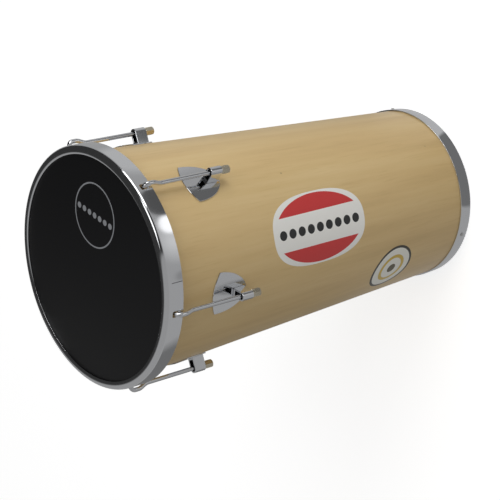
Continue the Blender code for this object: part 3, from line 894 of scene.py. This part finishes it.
# %% Brackets
BRACKET_DEPTH = 0.1145
BRACKET_LENGTH = 0.018
BRACKET_HALF_WIDTH = 0.006
BRACKET_WALL = 0.002
BRACKET_REAR_WALL = 0.003
BRACKET_FOOT = 0.003
BRACKET_CHAMFER = 0.0004
BRACKET_SHARP_DEG = 30.0
ARCH_RISE = 0.0008
ARCH_STEPS = 20


def bracket_seat(depth):
    """Radius at which a bracket's foot stands on the plate."""
    return shell_radius(depth) + SEAT_GAP + PLATE_THICKNESS + SEAT_GAP


def arch_ring(bm, half_width, base_radius, z):
    """An upside-down U at one height, as a closed chain of edges."""
    points = [(base_radius, -half_width)]
    points += arc((ROD_CIRCLE_RADIUS + ARCH_RISE, 0.0), half_width, half_width, -90, 90, ARCH_STEPS)
    points.append((base_radius, half_width))
    return closed_chain(bm, [bm.verts.new((x, y, z)) for x, y in points])


def bracket_bmesh():
    """The arch at +X, with its pocket open towards the head."""
    bm = bmesh.new()
    edge = BRACKET_CHAMFER
    outer = BRACKET_HALF_WIDTH
    inner = BRACKET_HALF_WIDTH - BRACKET_WALL
    front_z = height(BRACKET_DEPTH)
    rear_z = height(BRACKET_DEPTH + BRACKET_LENGTH)
    front_foot = bracket_seat(BRACKET_DEPTH)
    rear_foot = bracket_seat(BRACKET_DEPTH + BRACKET_LENGTH)
    floor = front_foot + BRACKET_FOOT
    rings = [
        arch_ring(bm, outer - edge, rear_foot + edge, rear_z),
        arch_ring(bm, outer, rear_foot, rear_z + edge),
        arch_ring(bm, outer, front_foot, front_z - edge),
        arch_ring(bm, outer - edge, front_foot + edge, front_z),
        arch_ring(bm, inner + edge, floor - edge, front_z),
        arch_ring(bm, inner, floor, front_z - edge),
        arch_ring(bm, inner, floor, rear_z + BRACKET_REAR_WALL),
    ]
    bridge_rings(bm, rings)
    return bm


drum_bodies = ["drum"] * LUG_COUNT
bracket_count = add_round_the_drum(
    bracket_bmesh(), "rod_bracket", CHROME, drum_bodies, BRACKET_SHARP_DEG
)
print("brackets:", bracket_count, "of", BRACKET_LENGTH * 1000, "mm")

# %% [markdown]
# The nuts are hexagons with a rounded end. A lathe rounds the end and cuts the hexagon's corners in the
# same pass, so each flat ends in a curve. A Boolean of a prism and a dome would do it. Here each ring
# follows the hexagon, but never goes past the round of the dome at its height, which gives the
# same curves with clean faces.

# %% Nuts
NUT_ACROSS_FLATS = 0.0105
NUT_LENGTH = 0.0148
NUT_DOME = 0.0032
NUT_DOME_STEPS = 10
NUT_DEPTH = 0.1328
NUT_CHAMFER = 0.0006
NUT_STEPS = 48
NUT_SHARP_DEG = 30.0
HALF_FLAT_ANGLE = math.pi / 6


def nut_bmesh():
    """A hexagon at +X whose lower rings shrink like a dome, with a chamfered top."""
    corner_radius = NUT_ACROSS_FLATS / math.sqrt(3)
    top_z = height(NUT_DEPTH)
    dome_z = top_z - NUT_LENGTH + NUT_DOME
    levels = [(top_z, corner_radius - NUT_CHAMFER), (top_z - NUT_CHAMFER, corner_radius)]
    for step in range(NUT_DOME_STEPS):
        angle = math.pi / 2 * step / NUT_DOME_STEPS
        levels.append((dome_z - NUT_DOME * math.sin(angle), corner_radius * math.cos(angle)))
    bm = bmesh.new()
    rings = []
    for z, limit in levels:
        ring = []
        for step in range(NUT_STEPS):
            angle = math.tau * step / NUT_STEPS
            from_flat = (angle + HALF_FLAT_ANGLE) % (2 * HALF_FLAT_ANGLE) - HALF_FLAT_ANGLE
            radius = min(NUT_ACROSS_FLATS / 2 / math.cos(from_flat), limit)
            x = ROD_CIRCLE_RADIUS + radius * math.cos(angle)
            ring.append(bm.verts.new((x, radius * math.sin(angle), z)))
        rings.append(closed_chain(bm, ring))
    bridge_rings(bm, rings)
    return bm


nut_bodies = [f"nut_{number}" for number in range(1, LUG_COUNT + 1)]
nut_count = add_round_the_drum(
    nut_bmesh(), "tension_nut", NUT_METAL, nut_bodies, NUT_SHARP_DEG
)
print("nuts:", nut_count, "of", NUT_ACROSS_FLATS * 1000, "mm across flats")

# %% [markdown]
# The band round the open end is a plain strip of chromed steel with its edges broken. It is nearly as
# wide as the hoop, and guards the shell where the drum stands. It leans with the shell's cone, so its
# section has an upper and a lower radius.

# %% Open end's band
BAND_WIDTH = 0.021
BAND_THICKNESS = 0.0017
BAND_EDGE_ROUND = 0.0005
BAND_EDGE_STEPS = 3


def make_band():
    """A strip that leans with the cone, rounded on its outer edges."""
    inner_top = shell_radius(EDGE_Z - BAND_WIDTH) + SEAT_GAP
    inner_bottom = OPEN_END_RADIUS + SEAT_GAP
    edge = BAND_EDGE_ROUND
    upper_centre = (inner_top + BAND_THICKNESS - edge, BAND_WIDTH - edge)
    lower_centre = (inner_bottom + BAND_THICKNESS - edge, edge)
    section = arc(upper_centre, edge, edge, 90, 0, BAND_EDGE_STEPS)
    section += arc(lower_centre, edge, edge, 0, -90, BAND_EDGE_STEPS)
    section += [(inner_bottom, 0.0), (inner_top, BAND_WIDTH)]
    mesh = finish_mesh(spun(section), "open_end_band_smooth")
    return add_piece("open_end_band_smooth", mesh, CHROME, "drum", ["open_end_band"])


band = make_band()
print("band faces:", len(band.data.polygons))

# %% [markdown]
# Two thin stickers in plain designs of their own are stuck on the shell: a rounded panel and a round
# badge near the open end. They could be painted in the wood's material, but a film has its own gloss
# and edge, so each is a thin sheet. Before it is bent, each point's flat place is kept as a UV map, so that
# a pattern follows the sticker.

# %% Wrap a sticker on the shell
STICKER_THICKNESS = 0.00008
STICKER_LIFT = 0.00002
STICKER_STRIP = 0.004
STICKER_STEPS = 96
STICKER_UV = "sticker_place"


def oval_outline(half_round, half_along, power):
    """Points of a rounded panel; a power of 2 is an ellipse, and more is squarer."""
    points = []
    for step in range(STICKER_STEPS):
        angle = math.tau * step / STICKER_STEPS
        across = math.copysign(abs(math.cos(angle)) ** (2 / power), math.cos(angle))
        along = math.copysign(abs(math.sin(angle)) ** (2 / power), math.sin(angle))
        points.append((half_round * across, half_along * along))
    return points


def make_sticker(name, half_round, half_along, power, angle_deg, middle_z, material):
    """Wraps a flat outline on the shell and keeps its flat place as its own UV map."""
    bm = thick_sheet(oval_outline(half_round, half_along, power), STICKER_THICKNESS)
    cut_strips(bm, half_round, STICKER_STRIP)
    layer = bm.loops.layers.uv.new(STICKER_UV)
    for face in bm.faces:
        for loop in face.loops:
            across = loop.vert.co.x / half_round
            along = loop.vert.co.y / half_along
            loop[layer].uv = (0.5 + across / 2, 0.5 + along / 2)
    for vert in bm.verts:
        depth = EDGE_Z - (middle_z + vert.co.y)
        vert.co = bent_place(vert.co.x, depth, vert.co.z, STICKER_LIFT, math.radians(angle_deg))
    return add_piece(name, finish_mesh(bm, name), material, "drum")


print("stickers are", STICKER_THICKNESS * 1000, "mm thick")

# %% [markdown]
# A sticker's pattern is worked out from two numbers at each point: how far across and how far along it
# lies, from -1 to 1. Their length is a share of the way out to the sticker's edge, so rings, rims and
# dots are each one comparison.

# %% Measure a place on a sticker
def sticker_place(tree):
    """Sockets for how far across and along the sticker a point is, from -1 to 1."""
    place = add_node(tree, "ShaderNodeUVMap", -6, 0, uv_map=STICKER_UV)
    parts = add_node(tree, "ShaderNodeSeparateXYZ", -5, 0)
    tree.links.new(place.outputs["UV"], parts.inputs["Vector"])
    sockets = []
    for row, letter in enumerate("XY"):
        socket = math_node(tree, "MULTIPLY_ADD", parts.outputs[letter], 2.0, -4, row)
        socket.node.inputs[2].default_value = -1.0
        sockets.append(socket)
    return sockets


def way_out(tree, across, along, edge, row):
    """How far out a point is, as a share of the way to an edge."""
    both = add_node(tree, "ShaderNodeCombineXYZ", -2, row)
    tree.links.new(math_node(tree, "DIVIDE", across, edge, -3, row), both.inputs["X"])
    tree.links.new(math_node(tree, "DIVIDE", along, edge, -3, row + 1), both.inputs["Y"])
    length = add_node(tree, "ShaderNodeVectorMath", -1, row, operation="LENGTH")
    tree.links.new(both.outputs["Vector"], length.inputs[0])
    return length.outputs["Value"]


print("sticker patterns read the UV map", STICKER_UV)

# %% [markdown]
# The panel is white, with a red cap on either side and a row of black dots along its middle. The row
# could be nine spots, but they are all alike, so the length is divided into equal cells and each dot is
# drawn about the middle of its cell.

# %% Panel
PANEL_Z = 0.3105
PANEL_ANGLE_DEG = -98.2
PANEL_HALF_ALONG = 0.086
PANEL_HALF_ROUND = 0.050
PANEL_POWER = 2.6
PANEL_WHITE = (0.85, 0.84, 0.80)
PANEL_RED = (0.60, 0.03, 0.03)
PANEL_BLACK = (0.015, 0.015, 0.015)
CAP_START = 0.46
CAP_END = 0.95
DOT_CELLS = 10
DOT_SHARE = 0.38
DOT_ROW_END = 0.9
FILM_ROUGHNESS = 0.35
FILM_COAT = 0.3


def cap_mask(tree, across, along):
    """1 in the two caps, which end short of the panel's edge."""
    sideways = math_node(tree, "ABSOLUTE", across, 0.0, -3, 9)
    outer = math_node(tree, "GREATER_THAN", sideways, CAP_START, 0, 1)
    size = way_out(tree, across, along, 1.0, 0)
    inside = math_node(tree, "LESS_THAN", size, CAP_END, 0, 0)
    return math_node(tree, "MULTIPLY", outer, inside, 1, 1)


def dot_mask(tree, across, along):
    """1 in a row of dots along the panel's middle, one in each cell."""
    cell = math_node(tree, "MULTIPLY", along, DOT_CELLS / 2, -3, 3)
    cell = math_node(tree, "ADD", cell, 0.5, -2, 3)
    cell = math_node(tree, "FRACT", cell, 0.0, -1, 3)
    cell = math_node(tree, "SUBTRACT", cell, 0.5, 0, 3)
    across_cells = DOT_CELLS / 2 * PANEL_HALF_ROUND / PANEL_HALF_ALONG
    dot_across = math_node(tree, "MULTIPLY", across, across_cells, -1, 5)
    dots = math_node(tree, "LESS_THAN", way_out(tree, cell, dot_across, DOT_SHARE, 6), 1.0, 0, 6)
    lengthways = math_node(tree, "ABSOLUTE", along, 0.0, -3, 10)
    row = math_node(tree, "LESS_THAN", lengthways, DOT_ROW_END, 0, 8)
    return math_node(tree, "MULTIPLY", dots, row, 1, 6)


def make_panel_material():
    """White film with two red caps and a row of black dots."""
    material, tree, shader = new_material("sticker_panel", PANEL_WHITE, 0.0, FILM_ROUGHNESS)
    across, along = sticker_place(tree)
    colour = mix_colour(tree, cap_mask(tree, across, along), PANEL_WHITE, PANEL_RED, 1, 0)
    colour = mix_colour(tree, dot_mask(tree, across, along), colour, PANEL_BLACK, 2, 2)
    tree.links.new(colour, shader.inputs["Base Color"])
    shader.inputs["Coat Weight"].default_value = FILM_COAT
    return material


panel = make_sticker(
    "shell_panel", PANEL_HALF_ROUND, PANEL_HALF_ALONG, PANEL_POWER,
    PANEL_ANGLE_DEG, PANEL_Z, make_panel_material(),
)
print("panel faces:", len(panel.data.polygons))

# %% [markdown]
# The badge is round: a dark rim, a cream field, a yellow ring and a dark dot. Each zone is laid over the
# one outside it, so a ring needs no inner and outer limit of its own.

# %% Badge
BADGE_Z = 0.1535
BADGE_ANGLE_DEG = -140.4
BADGE_RADIUS = 0.039
BADGE_RIM = (0.035, 0.03, 0.02)
BADGE_CREAM = (0.80, 0.79, 0.72)
# Each zone reaches this share of the way out, and has this colour.
BADGE_ZONES = (
    (0.90, BADGE_CREAM),
    (0.62, (0.62, 0.42, 0.05)),
    (0.48, BADGE_CREAM),
    (0.20, (0.10, 0.08, 0.03)),
)


def make_badge_material():
    """Zones from the rim inwards, each over the one before."""
    material, tree, shader = new_material("sticker_badge", BADGE_CREAM, 0.0, FILM_ROUGHNESS)
    across, along = sticker_place(tree)
    size = way_out(tree, across, along, 1.0, 0)
    colour = BADGE_RIM
    for index, (limit, tone) in enumerate(BADGE_ZONES):
        zone = math_node(tree, "LESS_THAN", size, limit, 0, index)
        colour = mix_colour(tree, zone, colour, tone, 1 + index, index)
    tree.links.new(colour, shader.inputs["Base Color"])
    shader.inputs["Coat Weight"].default_value = FILM_COAT
    return material


badge = make_sticker(
    "round_badge", BADGE_RADIUS, BADGE_RADIUS, 2.0,
    BADGE_ANGLE_DEG, BADGE_Z, make_badge_material(),
)
print("badge faces:", len(badge.data.polygons))

# %% [markdown]
# The hoop is a strip whose two ends are welded together, and the weld shows as a hair-thin dark line
# across the band. It could be a line in the chrome's material, but a thin sliver that stands a
# twentieth of a millimetre out of the band is simpler, and its length is easy to set.

# %% Weld across the hoop
WELD_ANGLE_DEG = -105.4
WELD_WIDTH = 0.0008
WELD_STAND_OUT = 0.00005
WELD_TOP_DEPTH = 0.0049
WELD_BOTTOM_DEPTH = 0.0215
WELD_GREY = (0.10, 0.10, 0.11)
WELD_ROUGHNESS = 0.5


def make_weld():
    """A dark sliver across the band's outer face."""
    material, _, _ = new_material("weld_line", WELD_GREY, 1.0, WELD_ROUGHNESS)
    bm = bmesh.new()
    bmesh.ops.create_cube(bm, size=1.0)
    size = (2 * WELD_STAND_OUT, WELD_WIDTH, WELD_BOTTOM_DEPTH - WELD_TOP_DEPTH)
    bmesh.ops.scale(bm, verts=bm.verts, vec=size)
    middle_z = height((WELD_TOP_DEPTH + WELD_BOTTOM_DEPTH) / 2)
    bmesh.ops.translate(bm, verts=bm.verts, vec=(HOOP_OUTER_RADIUS, 0.0, middle_z))
    turn = Matrix.Rotation(math.radians(WELD_ANGLE_DEG), 3, "Z")
    bmesh.ops.rotate(bm, verts=bm.verts, matrix=turn)
    return add_piece("hoop_weld", finish_mesh(bm, "hoop_weld"), material, "hoop_and_rods")


weld = make_weld()
print("weld at", WELD_ANGLE_DEG, "degrees, faces:", len(weld.data.polygons))

# %% [markdown]
# Some CAD pieces stay as they are: the ring under the skin, the bolts and washers inside and the band's
# screws. They are small or hidden, so a finer mesh would add nothing. Only their material is set.

# %% Pieces kept from the CAD
KEPT_MATERIALS = {
    "flesh_ring": ALUMINIUM,
    "lug_bolt": ZINC_STEEL,
    "bolt_washer": ZINC_STEEL,
    "band_screw": ZINC_STEEL,
}
kept = 0
for node_name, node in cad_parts.items():
    for piece, material in KEPT_MATERIALS.items():
        if node_name.startswith(piece):
            node.data.materials.clear()
            node.data.materials.append(material)
            kept += 1
print("CAD nodes kept in view:", kept)

# %% [markdown]
# The stage. The floor is white to the camera and keeps a faint shadow. Chrome only shows its surroundings,
# and a white room would leave it flat. So to reflections alone the floor is a grey field with a few round
# patches, each darker or brighter, which give the hoop its black lip and its dark and bright bands. A
# studio does the same with black and white cards.

# %% Floor's finish
FLOOR_WHITE = (0.93, 0.93, 0.93)
FLOOR_GLOW = 0.6
FLOOR_REFLECTED = 0.36
# Centre on the floor, radius, width of the soft edge and brightness.
REFLECTED_PATCHES = (
    ((0.95, 0.10), 0.45, 0.20, 0.50),
    ((0.10, -0.97), 0.35, 0.30, 0.66),
    ((0.34, -0.915), 0.16, 0.05, 1.30),
    ((0.66, -0.74), 0.24, 0.03, 0.09),
    ((-0.40, -0.89), 0.09, 0.05, 0.26),
    ((-0.75, 0.55), 0.75, 0.20, 0.17),
    ((0.40, -0.58), 0.24, 0.06, 0.13),
    ((-0.50, -0.39), 0.09, 0.03, 0.12),
    ((0.13, -0.06), 0.09, 0.02, 0.50),
    ((0.02, -0.17), 0.085, 0.006, 0.17),
)


def mix_value(tree, factor, first, second, column, row):
    """Mixes two values, each a socket or a plain number."""
    node = add_node(tree, "ShaderNodeMix", column, row)
    tree.links.new(factor, node.inputs["Factor"])
    for socket_name, value in (("A", first), ("B", second)):
        if isinstance(value, float):
            node.inputs[socket_name].default_value = value
        else:
            tree.links.new(value, node.inputs[socket_name])
    return node.outputs["Result"]


def make_floor_material():
    """White with a faint glow for the camera, and grey with patches for reflections."""
    material, tree, shader = new_material("floor_white", FLOOR_WHITE, 0.0, 1.0)
    path = add_node(tree, "ShaderNodeLightPath", -3, 0)
    glow = math_node(tree, "MULTIPLY", path.outputs["Is Camera Ray"], FLOOR_GLOW, -2, 0)
    tree.links.new(glow, shader.inputs["Emission Strength"])
    shader.inputs["Emission Color"].default_value = (1.0, 1.0, 1.0, 1.0)
    bright = FLOOR_REFLECTED
    for index, (centre, radius, edge, value) in enumerate(REFLECTED_PATCHES):
        values = {"Centre": (*centre, 0.0), "Radius": radius, "Edge": edge}
        patch = add_group(tree, SPOT, -3, 2 + index, values)
        bright = mix_value(tree, patch["Mask"], bright, value, index - 2, 2)
    seen = add_node(tree, "ShaderNodeEmission", 3, 2)
    tree.links.new(bright, seen.inputs["Strength"])
    either = add_node(tree, "ShaderNodeMixShader", 4, 1)
    tree.links.new(path.outputs["Is Glossy Ray"], either.inputs["Fac"])
    tree.links.new(shader.outputs["BSDF"], either.inputs[1])
    tree.links.new(seen.outputs["Emission"], either.inputs[2])
    tree.links.new(either.outputs["Shader"], tree.nodes["Material Output"].inputs["Surface"])
    return material


FLOOR_FINISH = make_floor_material()
print("reflected patches:", len(REFLECTED_PATCHES))

# %% Floor
FLOOR_SIZE = 14.0


def make_floor():
    """A plain square under the drum."""
    bm = bmesh.new()
    bmesh.ops.create_grid(bm, x_segments=1, y_segments=1, size=FLOOR_SIZE / 2)
    mesh = bpy.data.meshes.new("floor")
    bm.to_mesh(mesh)
    bm.free()
    mesh.materials.append(FLOOR_FINISH)
    obj = bpy.data.objects.new("floor", mesh)
    bpy.context.scene.collection.objects.link(obj)
    return obj


floor = make_floor()
print("floor is", round(floor.dimensions.x), "m wide")

# %% [markdown]
# The room round the stage is the world. It is white to the camera, gives the drum an even soft light, and
# looks dark to reflections, with one grey wall towards -X. A room could be built of planes
# instead, but the world needs no meshes and is never in the way of a lamp.

# %% Room
ROOM_LIGHT = 0.36
ROOM_REFLECTED = 0.035
WALL_REFLECTED = 0.33
WALL_FULL_X = -0.07
WALL_EDGE_X = -0.01
CAMERA_WHITE = 1.0


def make_world():
    """Three brightnesses: for the camera, for reflections and for all other light."""
    world = bpy.data.worlds.new("studio")
    world.use_nodes = True
    tree = world.node_tree
    background = tree.nodes["Background"]
    background.inputs["Color"].default_value = (1.0, 1.0, 1.0, 1.0)
    path = add_node(tree, "ShaderNodeLightPath", -4, 0)
    place = add_node(tree, "ShaderNodeTexCoord", -6, 1)
    parts = add_node(tree, "ShaderNodeSeparateXYZ", -5, 1)
    tree.links.new(place.outputs["Generated"], parts.inputs["Vector"])
    wall = add_node(tree, "ShaderNodeMapRange", -4, 1)
    tree.links.new(parts.outputs["X"], wall.inputs["Value"])
    wall.inputs["From Min"].default_value = WALL_FULL_X
    wall.inputs["From Max"].default_value = WALL_EDGE_X
    wall.inputs["To Min"].default_value = WALL_REFLECTED
    wall.inputs["To Max"].default_value = ROOM_REFLECTED
    reflected = mix_value(
        tree, path.outputs["Is Glossy Ray"], ROOM_LIGHT, wall.outputs["Result"], -3, 0
    )
    seen = mix_value(tree, path.outputs["Is Camera Ray"], reflected, CAMERA_WHITE, -2, 0)
    tree.links.new(seen, background.inputs["Strength"])
    return world


bpy.context.scene.world = make_world()
print("room light:", ROOM_LIGHT, "and", ROOM_REFLECTED, "in reflections")

# %% [markdown]
# The camera. The photograph shows the drum on its side, but it stands upright here, on the floor of its own
# frame. So the camera is rolled about its own axis instead of the drum, and the picture is the same.
# Its place and angles come from fitting the photograph's ellipses, and the lens is long.

# %% Camera
CAMERA_PLACE = Vector((-0.0224, -1.7222, 1.6808))
CAMERA_AZIMUTH_DEG = -89.8295
CAMERA_ELEVATION_DEG = 38.1390
CAMERA_ROLL_DEG = -104.3385
CAMERA_LENS = 111.71
SENSOR_WIDTH = 36.0
CAMERA_REACH = 50.0


def camera_turn():
    """Looks down from an azimuth and an elevation, and then rolls about its own axis."""
    round_drum = Matrix.Rotation(math.radians(CAMERA_AZIMUTH_DEG + 90), 3, "Z")
    raised = Matrix.Rotation(math.radians(90 - CAMERA_ELEVATION_DEG), 3, "X")
    rolled = Matrix.Rotation(math.radians(CAMERA_ROLL_DEG), 3, "Z")
    return round_drum @ raised @ rolled


def make_camera():
    """The photograph's camera."""
    data = bpy.data.cameras.new("camera")
    data.lens = CAMERA_LENS
    data.sensor_width = SENSOR_WIDTH
    data.clip_end = CAMERA_REACH
    obj = bpy.data.objects.new("camera", data)
    bpy.context.scene.collection.objects.link(obj)
    obj.matrix_world = Matrix.Translation(CAMERA_PLACE) @ camera_turn().to_4x4()
    return obj


camera = make_camera()
bpy.context.scene.camera = camera
print("camera at", tuple(round(value, 3) for value in camera.location))

# %% [markdown]
# Soft light. The main lamp is beyond the picture's top, which is the drum's +X side, so the shell is
# brightest along its upper line and falls off towards the picture's bottom. A weaker lamp near the camera
# fills the shadows. Both are large squares, because a small lamp would leave a hard spark in the chrome.

# %% Lamps
DRUM_MIDDLE = Vector((0.0, 0.0, 0.30))
PICTURE_RIGHT, PICTURE_UP, PICTURE_BACK = camera_turn().transposed()


def add_lamp(name, direction, distance, size, power):
    """A square area lamp that faces the drum's middle."""
    data = bpy.data.lights.new(name, "AREA")
    data.shape = "SQUARE"
    data.size = size
    data.energy = power
    lamp = bpy.data.objects.new(name, data)
    bpy.context.scene.collection.objects.link(lamp)
    aim = direction.normalized()
    lamp.location = DRUM_MIDDLE + aim * distance
    lamp.rotation_euler = aim.to_track_quat("Z", "Y").to_euler()
    return lamp


above = PICTURE_UP * 0.9 + PICTURE_BACK * 0.55
beside_camera = PICTURE_BACK + PICTURE_UP * 0.25 - PICTURE_RIGHT * 0.5
lamps = [
    add_lamp("top_lamp", above, distance=2.4, size=1.6, power=22.5),
    add_lamp("front_lamp", beside_camera, distance=3.0, size=1.4, power=10.0),
]
print("lamps:", [lamp.name for lamp in lamps])

# %% [markdown]
# Last, the view transform is set to Standard. The finer meshes have to stay inside the box of the CAD
# solids, because that box is what fits on a shelf or in a crate.

# %% Set the view transform
scene = bpy.context.scene
scene.view_settings.view_transform = "Standard"
